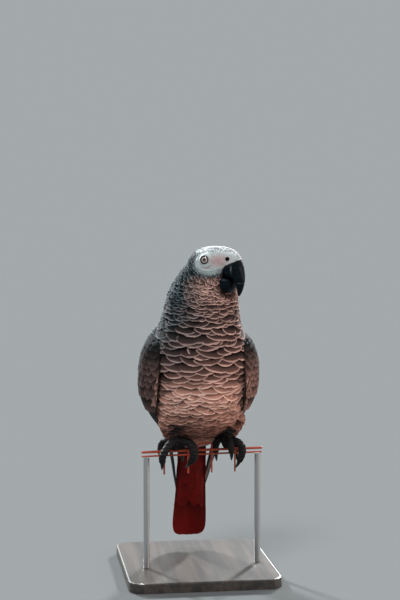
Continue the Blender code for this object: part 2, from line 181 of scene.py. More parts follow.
def evaluated(obj):
    """The object's mesh with its modifiers applied; the object goes."""
    graph = bpy.context.evaluated_depsgraph_get()
    mesh = bpy.data.meshes.new_from_object(obj.evaluated_get(graph))
    bpy.data.objects.remove(obj)
    return mesh


def node_mesh(name, swell, floor):
    """A mesh of a CAD node in metres: split corners merged, swollen by millimetres, cut off below floor."""
    bm = bmesh.new()
    bm.from_mesh(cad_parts[name].data)
    bmesh.ops.remove_doubles(bm, verts=bm.verts, dist=2e-6)
    if floor is not None:
        geometry = bm.verts[:] + bm.edges[:] + bm.faces[:]
        place = Vector(row((0, 0, floor)))
        bmesh.ops.bisect_plane(bm, geom=geometry, plane_co=place, plane_no=(0, 0, 1), clear_inner=True)
        bmesh.ops.holes_fill(bm, edges=[e for e in bm.edges if e.is_boundary], sides=0)
    bm.normal_update()
    moved = [v.co + v.normal * swell * 0.001 for v in bm.verts]
    for v, place in zip(bm.verts, moved):
        v.co = place
    return as_mesh(bm, "part")


def shell(names, voxel, swell=0.35, floors=(), plugs=(), legs=False):
    """One closed mesh, in metres, round copies of CAD nodes, on a grid of voxel millimetres. floors cuts
    nodes off below a height, and plugs are nodes that fill their sockets to a little below the surface."""
    joined = bmesh.new()
    floors = dict(floors)
    for name in [*names, *plugs]:
        mesh = node_mesh(name, -1.0 if name in plugs else swell, floors.get(name))
        joined.from_mesh(mesh)
        bpy.data.meshes.remove(mesh)
    if legs:  # a length of leg inside each thigh, so that foot and body join
        for name in SHANKS:
            low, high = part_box(name)
            place = Matrix.Translation(((low.x + high.x) / 2, (low.y + high.y) / 2 + 0.0005, high.z + 0.002))
            bmesh.ops.create_cone(joined, cap_ends=True, segments=20, radius1=0.0036, radius2=0.0036,
                                  depth=0.018, matrix=place)
    obj = make_object("shell", as_mesh(joined, "shell"))
    modifier = obj.modifiers.new("shell", "REMESH")
    modifier.mode = "VOXEL"
    modifier.voxel_size = voxel * 0.001
    return drop_scraps(evaluated(obj))


def drop_scraps(mesh, share=0.2):
    """Drops the connected pieces of a mesh that are small beside the largest."""
    edges = edge_array(mesh)
    label = np.arange(len(mesh.vertices))
    while True:
        low = np.minimum(label[edges[:, 0]], label[edges[:, 1]])
        new = label.copy()
        np.minimum.at(new, edges[:, 0], low)
        np.minimum.at(new, edges[:, 1], low)
        new = new[new]
        if (new == label).all():
            break
        label = new
    sizes = np.bincount(label)
    small = np.nonzero(sizes[label] < sizes.max() * share)[0]
    if len(small):
        bm = bmesh.new()
        bm.from_mesh(mesh)
        bm.verts.ensure_lookup_table()
        bmesh.ops.delete(bm, geom=[bm.verts[i] for i in small], context="VERTS")
        bm.to_mesh(mesh)
        bm.free()
    return mesh


def edge_array(mesh):
    edges = np.empty(len(mesh.edges) * 2, np.int32)
    mesh.edges.foreach_get("vertices", edges)
    return edges.reshape(-1, 2)


def points_of(mesh):
    co = np.empty(len(mesh.vertices) * 3, np.float32)
    mesh.vertices.foreach_get("co", co)
    return co.reshape(-1, 3).astype(float) * 1000 - PERCH


def set_points(mesh, points):
    mesh.vertices.foreach_set("co", row(points).astype(np.float32).ravel())
    mesh.update()


def normals_of(mesh):
    found = np.empty(len(mesh.vertices) * 3, np.float32)
    mesh.vertex_normals.foreach_get("vector", found)
    return found.reshape(-1, 3).astype(float)


def relax(mesh, rounds, keep=0.0, hold_size=True):
    """Smooths a mesh, each pull followed by a push that holds its size. keep is 1 at vertices that stay."""
    points, edges = points_of(mesh), edge_array(mesh)
    count = np.bincount(edges.ravel(), minlength=len(points))[:, None]
    free = 1 - np.reshape(keep, (-1, 1))
    for move in ((0.5, -0.53) if hold_size else (0.5,)) * rounds:
        total = np.zeros_like(points)
        for axis in range(3):
            for one, other in ((0, 1), (1, 0)):
                total[:, axis] += np.bincount(edges[:, one], points[edges[:, other], axis], len(points))
        points += (total / count - points) * move * free
    set_points(mesh, points)


class Surface:
    """A closed mesh that feathers lie on."""

    def __init__(self, mesh):
        self.points = points_of(mesh)
        faces = [tuple(p.vertices) for p in mesh.polygons]
        self.tree = BVHTree.FromPolygons([tuple(p) for p in self.points], faces)

    def nearest(self, points):
        """The nearest place on the surface to each point, its outward normal and its distance."""
        found = [self.tree.find_nearest(p) for p in points.reshape(-1, 3).tolist()]
        places = np.array([f[0] for f in found]).reshape(points.shape)
        normals = np.array([f[1] for f in found]).reshape(points.shape)
        return places, normals, np.array([f[3] for f in found]).reshape(points.shape[:-1])

    def gap(self, points):
        return self.nearest(points)[2]

    def hit(self, place, way, reach=1e3):
        """The place where a ray meets the surface first and the normal there, or None."""
        found, normal, _, _ = self.tree.ray_cast(list(place), list(way), reach)
        return None if found is None else (np.array(found), np.array(normal))


def ripples(points, size, seed):
    """A smooth uneven field of about -1 to 1, its waves about size millimetres long."""
    draw = np.random.default_rng(seed)
    total = np.zeros(len(points))
    for _ in range(7):
        wave = unit(draw.normal(size=3)) * 2 * math.pi / (size * draw.uniform(0.7, 1.4))
        total += np.sin(points @ wave + draw.uniform(0, 6.28))
    return total / 3.2


# ---------------------------------------------------------------- the bare face, eyes and nostrils

# The edge of the bare white skin on each side of the head: points ahead of and above the head's centre.
FACE_EDGE = np.array([
    (-3.8, 3.0), (-2.8, -0.2), (0.8, -3.6), (5.5, -5.7), (11.0, -6.4), (16.0, -5.4),
    (20.0, -4.0), (24.0, -3.4), (31.0, 0.0), (38.5, 4.0), (37.5, 8.6), (31.0, 10.6),
    (24.0, 11.8), (16.0, 12.8), (8.5, 12.8), (2.5, 12.0), (-0.8, 10.2), (-3.2, 7.0),
])


def face_depth(points):
    """How far inside the bare face points lie, in millimetres, negative outside it."""
    place = in_head(points)
    here = place[:, [0, 2]]
    nearest = np.full(len(here), 1e9)
    inside = np.zeros(len(here), bool)
    for a, b in zip(FACE_EDGE, np.roll(FACE_EDGE, -1, 0)):
        way = b - a
        t = np.clip(((here - a) @ way) / (way @ way), 0, 1)
        nearest = np.minimum(nearest, np.linalg.norm(here - a - t[:, None] * way, axis=1))
        crosses = (a[1] > here[:, 1]) != (b[1] > here[:, 1])
        with np.errstate(divide="ignore", invalid="ignore"):
            x = a[0] + (here[:, 1] - a[1]) * way[0] / way[1]
        inside ^= crosses & (here[:, 0] < x)
    far = (points[:, 2] < 150) | (np.abs(place[:, 1]) < 2.5)
    return np.where(far, -30, np.where(inside, nearest, -nearest))


def eye_axis(sign):
    return unit(ASIDE * sign * math.cos(EYE_TURN) + AHEAD * math.sin(EYE_TURN) + UP * 0.04)


def eye_polar(points, sign):
    """Height over the eye's centre along its axis, and distance from that axis."""
    away = points - from_head(EYE_PLACE, sign)
    height = away @ eye_axis(sign)
    return height, np.linalg.norm(away - height[:, None] * eye_axis(sign), axis=1)


def nostril_polar(points, sign):
    """Distance from the axis of a nostril, and very far for what is not near it."""
    place, normal, _ = body.nearest(from_head(NOSTRIL_PLACE, sign)[None])
    away = points - place[0]
    height = away @ normal[0]
    out = np.linalg.norm(away - height[:, None] * normal[0], axis=1)
    return np.where(np.abs(height) < 5, out, 99)


# ---------------------------------------------------------------- markings, the same for skin and feathers

SLATE_STOPS = [  # height, then the feather's colour and its edge's on the sides and back
    (-20, (128, 132, 134), (184, 188, 190)),
    (10, (104, 108, 110), (170, 174, 176)),
    (45, (50, 54, 57), (122, 128, 132)),
    (90, (28, 32, 36), (106, 114, 120)),
    (125, (15, 24, 28), (98, 112, 118)),
    (150, (13, 23, 26), (92, 108, 114)),
    (185, (19, 31, 35), (108, 123, 129)),
]
WARM_LIT_FRONT_STOPS = [  # the same on the throat, breast and belly: grey feathers tinted pink-brown by painted warm light bounced up from below, strongest on the belly
    (-20, (196, 126, 92), (248, 184, 146)),
    (2, (192, 132, 110), (246, 190, 166)),
    (10, (100, 62, 52), (168, 114, 99)),
    (20, (98, 60, 50), (170, 116, 101)),
    (30, (158, 108, 94), (236, 180, 162)),
    (46, (186, 131, 115), (254, 208, 190)),
    (62, (180, 128, 113), (254, 208, 191)),
    (74, (100, 69, 62), (222, 174, 160)),
    (100, (74, 52, 48), (202, 162, 151)),
    (128, (62, 45, 43), (192, 155, 145)),
    (145, (76, 56, 52), (206, 166, 155)),
    (162, (150, 110, 102), (238, 198, 184)),
]
# painted highlight: paler feather edges on the back of the neck stand in for a rim of light from behind
NAPE_RIM_HIGHLIGHT = colour(196, 205, 208)
PALE_CROWN_AND_HIGHLIGHT = (colour(206, 213, 216), colour(250, 252, 252))  # feather and edge, as those that follow: pale grey crown feathers, made near white by a painted highlight of the light from behind
BROW = (colour(92, 101, 105), colour(214, 221, 223))
DOWNY = (colour(104, 116, 119), colour(158, 168, 170))  # the soft fringe of the bare face
ANKLE_PAINTED_SHADE = (colour(16, 18, 21), colour(50, 50, 54))  # painted shade over the feet, under the thighs
WING_GAP_SHADE = (colour(24, 17, 17), colour(70, 52, 50))  # painted shade in the gap beside the wings' front edges
# pale feathers at the wing's front edge, tinted pink by painted warm light bounced from below
WARM_LIT_LINING = (colour(150, 108, 96), colour(220, 176, 162))
TAIL_RED = (colour(106, 10, 8), colour(142, 25, 19))
BARE_WHITE = colour(175, 183, 183)
# painted shade on the bare face next to the bill's root
BARE_PINK = colour(178, 143, 140)
BARE_PAINTED_SHADE = colour(104, 108, 108)
FOOT = colour(22, 18, 20)
LID_DARK = colour(46, 40, 42)
# painted shade in the nostrils' openings, which are only shallow dents
NOSTRIL_OPENING_SHADE = colour(14, 13, 14)
GAPE_DARK = colour(26, 28, 30)
SHADED_ANKLES = ((-25, 19), (31, 13))  # X and height of the painted shade over the feet


def stops(table, height):
    """Each colour of a table of stops at each height."""
    levels, *columns = zip(*table)
    shades = [np.array([colour(*c) for c in column]) for column in columns]
    return [np.stack([np.interp(height, levels, s[:, c]) for c in range(3)], -1) for s in shades]


def markings(points):
    """Colour of a feather, or of the skin under it, and colour of its edge, at places on the body."""
    x, y, z = points.T
    tint, edge = stops(SLATE_STOPS, z)
    # the painted rim highlight on the back of the neck
    edge = mix(edge, NAPE_RIM_HIGHLIGHT, step(y, -14, 6) * step(z, 122, 136) * 0.25)
    ahead, _, up = in_head(points).T
    profile = np.stack([ahead, up], -1)
    depth = face_depth(points)
    reach = np.interp(z, (0, 20, 50), (38, 20, 0))  # how far back the belly's colours, with their painted warm light, go
    front = 1 - step(y, -22 + reach, 12 + reach)
    across = step(x + 6 * ripples(points, 16, 6), np.interp(z, (105, 135), (-60, -40)), 14)
    across = across + (1 - across) * (1 - step(z, 62, 112))
    throat = step(ahead + 2.5 * ripples(points, 14, 2), -15, 17) * step(-up, 6, 16)
    low = step(z, 138, 152)
    crown_edge = np.interp(ahead, (22, 34), (11.5, 3.5))
    # where the pale crown and its painted highlight lie
    crown = step(up + 1.2 * ripples(points, 9, 7) - crown_edge, 0, 3.5) * step(ahead, -14, -4)
    layers = [
        # the front's colours, with their painted warm light
        (*stops(WARM_LIT_FRONT_STOPS, z), front * across * (1 - low) + low * throat),
        (*BROW, step(up, 8, 12) * step(ahead, -18, -4) * 0.7),
        (*PALE_CROWN_AND_HIGHLIGHT, crown),
        (*DOWNY, step(depth, -7, -1.5) * (1 - crown) * 0.85),
    ]
    # painted shade over each foot, under the thigh
    for ankle in SHADED_ANKLES:
        layers.append((*ANKLE_PAINTED_SHADE, spot(points[:, [0, 2]], ankle, (10, 11), 0.4) * (y < 30) * 0.92))
    # painted shade along the gap between each wing's front edge and the body
    beside = np.abs(np.abs(x) - np.interp(z, (40, 72), (44, 38)))
    layers.append((*WING_GAP_SHADE, step(-beside, -4.5, -1) * step(z, 22, 42) * step(-z, -92, -70) * 0.8))
    pink = spot(profile, (20, 5.5), (14, 10), 0.05) * 0.9
    under_eye = spot(profile, (10, -1), (5, 3), 0) * 0.6
    skin = mix(BARE_WHITE, BARE_PINK, np.maximum(pink, under_eye))
    # painted shade on the bare face next to the bill's root
    skin = mix(skin, BARE_PAINTED_SHADE, spot(profile, (25, -3.5), (9, 6), 0.2) * 0.55)
    layers.append((skin, skin * 1.1, step(depth, -3.5, 0.5)))
    for inner, outer, share in layers:
        tint, edge = mix(tint, inner, share), mix(edge, outer, share)
    return tint, edge


# ---------------------------------------------------------------- materials


class Nodes:
    """A material, and short ways to add shader nodes to it."""

    def __init__(self, name, base=(0.5, 0.5, 0.5), **inputs):
        self.material = bpy.data.materials.new(name)
        self.material.use_nodes = True
        self.tree = self.material.node_tree
        self.shader = self.tree.nodes["Principled BSDF"]
        self.feed(Base_Color=(*base, 1), **inputs)

    def feed(self, **inputs):
        """Sets the shader's inputs, or links sockets to them."""
        for key, value in inputs.items():
            self.put(value, self.shader.inputs[key.replace("_", " ")])

    def add(self, kind, **settings):
        node = self.tree.nodes.new(kind)
        for key, value in settings.items():
            setattr(node, key, value)
        return node

    def put(self, value, socket):
        if isinstance(value, bpy.types.NodeSocket):
            self.tree.links.new(value, socket)
        else:
            socket.default_value = value

    def math(self, operation, *values, clamp=False):
        node = self.add("ShaderNodeMath", operation=operation, use_clamp=clamp)
        for value, socket in zip(values, node.inputs):
            self.put(value, socket)
        return node.outputs[0]

    def smooth(self, value, low, high, start=0.0, end=1.0):
        node = self.add("ShaderNodeMapRange", interpolation_type="SMOOTHSTEP")
        for v, socket in zip((value, low, high, start, end), node.inputs):
            self.put(v, socket)
        return node.outputs[0]

    def blend(self, share, a, b, how="MIX"):
        node = self.add("ShaderNodeMix", data_type="RGBA", blend_type=how)
        self.put(share, node.inputs["Factor"])
        for value, socket in ((a, node.inputs[6]), (b, node.inputs[7])):
            self.put(value if isinstance(value, bpy.types.NodeSocket) else (*value, 1), socket)
        return node.outputs[2]

    def dimmed(self, shade, share):
        """A colour times a number."""
        grey = self.add("ShaderNodeCombineColor")
        for socket in grey.inputs:
            self.put(share, socket)
        return self.blend(1.0, shade, grey.outputs[0], "MULTIPLY")

    def attribute(self, name, output="Color"):
        return self.add("ShaderNodeAttribute", attribute_name=name).outputs[output]

    def place(self, stretch=(1, 1, 1)):
        """Object coordinates in millimetres, stretched along the axes."""
        node = self.add("ShaderNodeMapping")
        node.inputs["Scale"].default_value = [1000 * s for s in stretch]
        self.put(self.add("ShaderNodeTexCoord").outputs["Object"], node.inputs["Vector"])
        return node.outputs[0]

    def noise(self, scale, detail, stretch=(1, 1, 1), roughness=0.5, distortion=0.0):
        node = self.add("ShaderNodeTexNoise")
        inputs = dict(Vector=self.place(stretch), Scale=scale, Detail=detail, Roughness=roughness,
                      Distortion=distortion)
        for key, value in inputs.items():
            self.put(value, node.inputs[key])
        return node.outputs[0]

    def bump(self, height, distance, strength):
        node = self.add("ShaderNodeBump")
        node.inputs["Strength"].default_value = strength
        node.inputs["Distance"].default_value = distance * 0.001
        self.put(height, node.inputs["Height"])
        self.feed(Normal=node.outputs[0])


def feather_material(name, rim, shaft, roughness=0.78, rim_share=0.9, barbs=56, sheen=0.25, root_shade=0.55,
                     splay=0.9):
    """Feather: colour and edge colour from attributes, barbs slanting from the shaft, a pale edge ragged with
    wear.
    """
    n = Nodes(name, Roughness=roughness, Sheen_Weight=sheen, Sheen_Roughness=0.15, Specular_IOR_Level=0.16)
    split = n.add("ShaderNodeSeparateXYZ")
    n.put(n.add("ShaderNodeUVMap", uv_map="vane").outputs[0], split.inputs[0])
    across = n.math("ABSOLUTE", n.math("MULTIPLY_ADD", split.outputs[0], 2.0, -1.0))
    along = split.outputs[1]
    slant = n.math("SUBTRACT", n.math("MULTIPLY", along, barbs), n.math("MULTIPLY", across, barbs * splay))
    wander = n.noise(0.9, 3)
    lines = n.math("SINE", n.math("MULTIPLY_ADD", wander, 1.6, n.math("MULTIPLY", slant, 6.283)))
    side = n.math("SUBTRACT", 1.0, n.math("POWER", across, 5.0))
    tip = n.math("SUBTRACT", 1.0, n.math("POWER", along, 6.0))
    edge = n.smooth(n.math("SUBTRACT", 1.0, n.math("MULTIPLY", side, tip)), *rim)
    edge = n.math("MULTIPLY", edge, n.smooth(along, 0.3, 0.62))
    ragged = n.math("MULTIPLY_ADD", n.math("SUBTRACT", wander, 0.5), 0.8, 1.0)
    edge = n.math("MULTIPLY", n.math("MULTIPLY", edge, ragged), rim_share, clamp=True)
    shade = n.blend(edge, n.attribute("tint"), n.attribute("edge"))
    # painted shade darkens each feather towards its root, under the feather above; the barbs' lines ride on
    # it
    barb_lines_and_root_shade = n.math("MULTIPLY_ADD", lines, 0.05, n.smooth(along, 0.52, 0.86, root_shade, 1.0))
    middle = n.smooth(across, 0.0, 0.06, shaft, 0.0)
    darker = n.math("SUBTRACT", barb_lines_and_root_shade, n.math("MULTIPLY", middle, n.smooth(along, 0.95, 0.3)))
    n.feed(Base_Color=n.dimmed(shade, darker))
    n.bump(n.math("MULTIPLY_ADD", middle, 1.2, lines), 0.035, 0.6)
    return n.material


FINISHES = {
    name: feather_material(name, **settings)
    for name, settings in {
        "body_feather": dict(rim=(0.4, 0.88), rim_share=1.0, shaft=0.06, root_shade=0.07, sheen=0.3),
        "belly_feather": dict(rim=(0.34, 0.9), rim_share=1.0, shaft=0.04, root_shade=0.38),
        "head_feather": dict(rim=(0.25, 0.85), rim_share=0.95, barbs=24, shaft=0.1, root_shade=0.45,
                             sheen=0.2),
        "covert": dict(roughness=0.8, rim=(0.15, 0.95), rim_share=0.75, shaft=0.2, barbs=30, root_shade=0.2,
                       sheen=0.05),
        "flight": dict(roughness=0.6, rim=(0.45, 0.99), shaft=0.45, barbs=120, sheen=0.06, splay=0.33),
        "tail_feather": dict(roughness=0.6, rim=(0.75, 0.99), rim_share=0.4, shaft=0.4, barbs=110, sheen=0.1,
                             splay=0.33),
    }.items()
}


def skin_material():
    """Skin: the markings from an attribute, pebbled where it is bare."""
    n = Nodes("skin_finish", Roughness=0.62, Specular_IOR_Level=0.2)
    fine = n.noise(1.4, 4, roughness=0.6)
    uneven = n.math("MULTIPLY_ADD", n.math("SUBTRACT", fine, 0.5), 0.5, 1.0)
    uneven = n.math("MULTIPLY_ADD", n.math("SUBTRACT", n.noise(0.22, 3), 0.5), 0.35, uneven)
    n.feed(Base_Color=n.dimmed(n.attribute("tint"), uneven))
    cells = n.add("ShaderNodeTexVoronoi", feature="F1")
    n.put(n.place(), cells.inputs["Vector"])
    cells.inputs["Scale"].default_value = 1.1
    height = n.math("ADD", n.math("MULTIPLY", cells.outputs[0], -0.8), fine)
    bare = n.math("MULTIPLY_ADD", n.attribute("bare", "Fac"), 0.8, 0.2)
    n.bump(n.math("MULTIPLY", height, bare), 0.25, 0.8)
    return n.material


# ---------------------------------------------------------------- feathers


def unwrap(points):
    """Places on one unwrap of the bird, 0 to 1: across round it, along from the tail's tip to the crown."""
    x, y, z = points.T
    up = (np.clip(z, -110, 165) + 110) / 400
    away = points - (HEAD_CENTRE + np.array((0, 0, -17)))
    rise = np.arctan2(away[:, 2], np.hypot(away[:, 0], away[:, 1]))
    up = up + step(z, 163, 166) * 0.012 + np.where(z > 165, np.clip(rise, 0, 1.57) / 1.57 * 0.27, 0)
    middle_x = np.interp(z, (100, 180), (0, 9))
    middle_y = np.interp(z, (-100, 0, 100, 180), (80, 30, -4, -17))
    turn = np.arctan2(x - middle_x, -(y - middle_y)) / (2 * math.pi) + 0.5
    return np.stack([0.01 + 0.98 * turn, 0.01 + 0.96 * np.clip(up, 0, 1)], -1)


def build(name, places, normals, across, along, thick, tint, edge, finish, roots):
    """One mesh of closed vanes, thick millimetres thick. places and normals are (vanes, along, across, 3) on
    their upper side; across and along are the same grid's coordinates from 0 to 1."""
    count, rows, columns, _ = places.shape
    inner = (rows - 2) * (columns - 2)
    each = rows * columns + inner

    def both_sides(upper, lower):
        shape = (count, -1, *upper.shape[3:])
        return np.concatenate([upper.reshape(shape), lower[:, 1:-1, 1:-1].reshape(shape)], 1)

    def quads(ids):
        corners = (ids[:-1, :-1], ids[1:, :-1], ids[1:, 1:], ids[:-1, 1:])
        return np.stack(corners, -1).reshape(-1, 4)

    bulge = (1 - (across * 2 - 1) ** 2) * np.clip(along * 5, 0.3, 1)
    points = both_sides(places, places - normals * (thick * bulge)[..., None])
    top = np.arange(rows * columns).reshape(rows, columns)
    under = top.copy()
    under[1:-1, 1:-1] = rows * columns + np.arange(inner).reshape(rows - 2, columns - 2)
    up, down = quads(top), quads(under)
    a, b, c = points[0, up[0, :3]]
    if np.dot(np.cross(b - a, c - a), normals[0, 0, 0]) < 0:
        up = up[:, ::-1]
    else:
        down = down[:, ::-1]
    faces = (np.concatenate([up, down]) + per_vane(np.arange(count) * each)).reshape(-1, 4)
    mesh = bpy.data.meshes.new(name)
    mesh.vertices.add(count * each)
    mesh.vertices.foreach_set("co", row(points).astype(np.float32).ravel())
    mesh.loops.add(faces.size)
    mesh.loops.foreach_set("vertex_index", faces.astype(np.int32).ravel())
    mesh.polygons.add(len(faces))
    mesh.polygons.foreach_set("loop_start", np.arange(0, faces.size, 4, dtype=np.int32))
    mesh.update(calc_edges=True)
    mesh.shade_smooth()
    mesh.set_sharp_from_angle(angle=math.radians(70))
    vane = np.stack([both_sides(g, g) for g in (across, along)], -1)
    patch = unwrap(roots)[:, None] + (vane - 0.5) * PATCH
    for key, values in (("vane", vane), ("OFBake", patch)):
        corners = values.reshape(-1, 2)[faces.ravel()].astype(np.float32)
        mesh.uv_layers.new(name=key).data.foreach_set("uv", corners.ravel())
    for key, values in (("tint", tint), ("edge", edge)):
        set_attribute(mesh, key, np.repeat(values, each, axis=0))
    finished(name, mesh, finish)


def soft(noise, axis):
    """Noise blurred along one axis."""
    return (noise + np.roll(noise, 1, axis) + np.roll(noise, -1, axis)) / 2


def vane_grid(count, rows, columns, blunt, wobble, waist=0.5, bow=0.16):
    """The flat shape of vanes: across and along from 0 to 1, and the offsets across the shaft and along it as
    shares of width and length. blunt is how much of the length the rounded end takes, waist the width at the
    root, bow how far the sides of the end hang back, and wobble how uneven the outline is."""
    x = np.linspace(0, 1, rows)
    along = (1 - (1 - x) ** 1.3)[None, :, None] * np.ones((count, 1, columns))
    across = np.linspace(0, 1, columns)[None, None] * np.ones((count, rows, 1))
    u = across * 2 - 1
    start = 1 - blunt
    rounding = np.clip((along - start) / (1 - start), 0, 1)
    wide = np.maximum((1 - rounding**2.3) ** (1 / 2.3), 0.34)
    wide = wide * (waist + (1 - waist) * step(along, 0, 0.35))
    wide = wide * (1 + wobble * soft(rng.uniform(-1, 1, (count, rows, 1)), 1))
    far = along - bow * (u * wide) ** 2 * along**2
    far = far + wobble * 0.7 * soft(rng.uniform(-1, 1, (count, 1, columns)), 2) * along**3
    return across, along, u * wide / 2, far


def lay(name, surface, roots, ways, length, width, finish, slot, size, sink, rise, droop, thick=0.22,
        blunt=0.45, wobble=0.035, power=1.15, spread=0.12, bow=0.16, shades=None):
    """Feathers lying on a surface: roots sink under it, tips rise clear of it, and sides droop."""
    count = len(roots)
    length = length * rng.uniform(0.88, 1.12, count)
    width = width * rng.uniform(0.84, 1.12, count)
    roots, normals, _ = surface.nearest(roots)
    ways = unit(ways - normals * (ways * normals).sum(-1, keepdims=True))
    side = np.cross(normals, ways)
    ways = unit(ways + side * rng.normal(0, spread, (count, 1)))
    side = np.cross(normals, ways)
    across, along, off, far = vane_grid(count, *size, blunt, wobble, bow=bow)
    flat = (
        per_vane(roots)
        + per_vane(ways) * (far * per_vane(length))[..., None]
        + per_vane(side) * (off * per_vane(width))[..., None]
    )
    places, facing, _ = surface.nearest(flat)
    u = across * 2 - 1
    lift = rng.uniform(0.7, 1.3, (count, 1, 1)) * np.reshape(rise, (-1, 1, 1))
    height = -sink + (sink + lift) * along**power - droop * u**2 * (0.35 + 0.65 * along)
    places = places + facing * height[..., None]
    tint, edge = shades or markings(roots + ways * length[:, None] * 0.75)
    tone = rng.normal(1, 0.12, (count, 1))
    paleness = tone * rng.uniform(0.72, 1.12, (count, 1))
    build(name, places, facing, across, along, thick, tint * tone, edge * paleness, finish, roots)


def scatter(surface, wanted, spacing):
    """Vertices of the surface where wanted, at least spacing apart, which may vary from place to place."""
    ids = np.nonzero(wanted)[0]
    ids = ids[rng.permutation(len(ids))]
    kept = np.empty((len(ids), 3))
    chosen = []
    for i in ids:
        near = kept[:len(chosen)] - surface.points[i]
        if not chosen or (near * near).sum(1).min() > spacing[i] ** 2:
            kept[len(chosen)] = surface.points[i]
            chosen.append(i)
    return np.array(chosen)


# ---------------------------------------------------------------- skin


def coat_depth(points):
    """How far under the feathers' outline the skin lies, in millimetres."""
    ahead, _, _ = in_head(points).T
    _, y, z = points.T
    deep = np.interp(z, (-10, 20, 90, 130, 160, 175), (2.0, 3.0, 3.4, 2.6, 1.6, 1.1))
    deep = deep * (1 - step(face_depth(points), -4.5, -0.5))
    beak = step(ahead, 22, 30) * step(z, 160, 165)
    ankle = (1 - step(z, 9, 20)) * (y < 16)
    return deep * (1 - beak * 0.7) * (1 - ankle)


def shape_face(points, normals):
    """Folds of the bare face, lids round the eyes and rims round the nostrils."""
    ahead, _, up = in_head(points).T
    depth = face_depth(points)
    creases = 1 - np.abs(ripples(points, 2.6, 5)) * 1.6
    rim = bell(depth, 1.8, 1.3) * step(-up, -1, 3) * 0.45
    bag = np.hypot((ahead - EYE_PLACE[0] - 1) / 1.15, up - EYE_PLACE[2])
    bag = (bell(bag, 7.0, 0.9) - 1.3 * bell(bag, 8.6, 0.8)) * step(-up, -5, -2)
    lift = (0.14 * creases + 0.12 * ripples(points, 6, 8) + rim + 0.22 * bag) * step(depth, -1.5, 2.0)
    points = points + normals * lift[:, None]
    for sign in SIDES.values():
        height, out = eye_polar(points, sign)
        near = (height > 0) & (out < 10.5)
        edge = math.sqrt(EYE_RADIUS**2 - LID**2)
        raised = height + (edge + 0.75 - height) * (1 - step(out, LID + 0.5, LID + 3.4))
        rings = 0.08 * np.sin((out - LID) * 2 * math.pi / 1.15 + ripples(points, 5, 3))
        raised = raised + rings * step(out, LID, LID + 1) * (1 - step(out, 7.5, 10.5))
        sunk = np.sqrt(np.maximum(EYE_RADIUS**2 - out**2, 0)) - 1.1
        opening = sunk + (raised - sunk) * step(out, LID - 0.45, LID)
        target = np.where(out < LID + 0.5, opening, raised)
        points = points + eye_axis(sign) * np.where(near, target - height, 0)[:, None]
        out = nostril_polar(points, sign)
        dent = -2.2 * (1 - step(out, 1.3, 2.2)) + 0.4 * bell(out, 2.7, 0.6)
        points = points + normals * dent[:, None]
    return points


def refine(mesh, wanted):
    """Splits the faces whose middle is wanted into four."""
    bm = bmesh.new()
    bm.from_mesh(mesh)
    middles = np.array([f.calc_center_median() for f in bm.faces]) * 1000 - PERCH
    edges = dict.fromkeys(e for f, chosen in zip(bm.faces, wanted(middles)) if chosen for e in f.edges)
    bmesh.ops.subdivide_edges(bm, edges=list(edges), cuts=1, use_grid_fill=True)
    bmesh.ops.triangulate(bm, faces=[f for f in bm.faces if len(f.verts) > 4])
    bm.to_mesh(mesh)
    bm.free()


def near_eye(points):
    """Whether points are round an eye or a nostril."""
    found = np.zeros(len(points), bool)
    for sign in SIDES.values():
        height, out = eye_polar(points, sign)
        found |= (height > -1) & (out < 8.5)
        found |= nostril_polar(points, sign) < 3.2
    return found


def bird_shell():
    """The skin down to the ankles: under the feathers, and finely shaped where it is bare."""
    names = ["head", "neck", "trunk", "tail", *WINGS, *THIGHS]
    floors = {"wing_left": 4, "wing_right": 4, "tail": -20}
    mesh = shell(names, VOXEL, floors=floors, plugs=["eye_left", "eye_right"])
    relax(mesh, 6)
    points = points_of(mesh)
    deep = coat_depth(points)
    set_points(mesh, points - normals_of(mesh) * deep[:, None])
    relax(mesh, 3, keep=1 - step(deep, 0.3, 0.9), hold_size=False)
    for reach in (1.0, 0.0):
        refine(mesh, lambda p: face_depth(p) > -reach)
    refine(mesh, near_eye)
    relax(mesh, 5, keep=1 - step(face_depth(points_of(mesh)), -1.5, 0.0))
    set_points(mesh, shape_face(points_of(mesh), normals_of(mesh)))
    return mesh


def foot_shell():
    """Both feet with a length of leg, scaly above and padded where they grip."""
    mesh = shell(TOES + SHANKS, FOOT_VOXEL, legs=True)
    relax(mesh, 3)
    points, normals = points_of(mesh), normals_of(mesh)
    _, y, z = points.T
    round_rim = np.arctan2(z - WIRE_Z, -y) * TOE_ARC
    along = np.where(z > 9, z * 1.1, round_rim)
    scutes = np.abs(np.sin(along * math.pi / 2.6)) ** 0.5 - 0.75
    pads = np.abs(ripples(points, 2.0, 4)) ** 0.5 - 0.6
    rough = np.where(normals[:, 1] * np.sign(y) > -0.2, scutes * 0.85, pads * 0.5)
    set_points(mesh, points + normals * rough[:, None])
    return mesh


def united(mesh, other):
    """Two closed meshes as one."""
    main, tool = make_object("main", mesh), make_object("tool", other)
    modifier = main.modifiers.new("join", "BOOLEAN")
    modifier.operation = "UNION"
    modifier.object = tool
    modifier.solver = "EXACT"
    mesh = evaluated(main)
    bpy.data.objects.remove(tool)
    return drop_scraps(mesh)


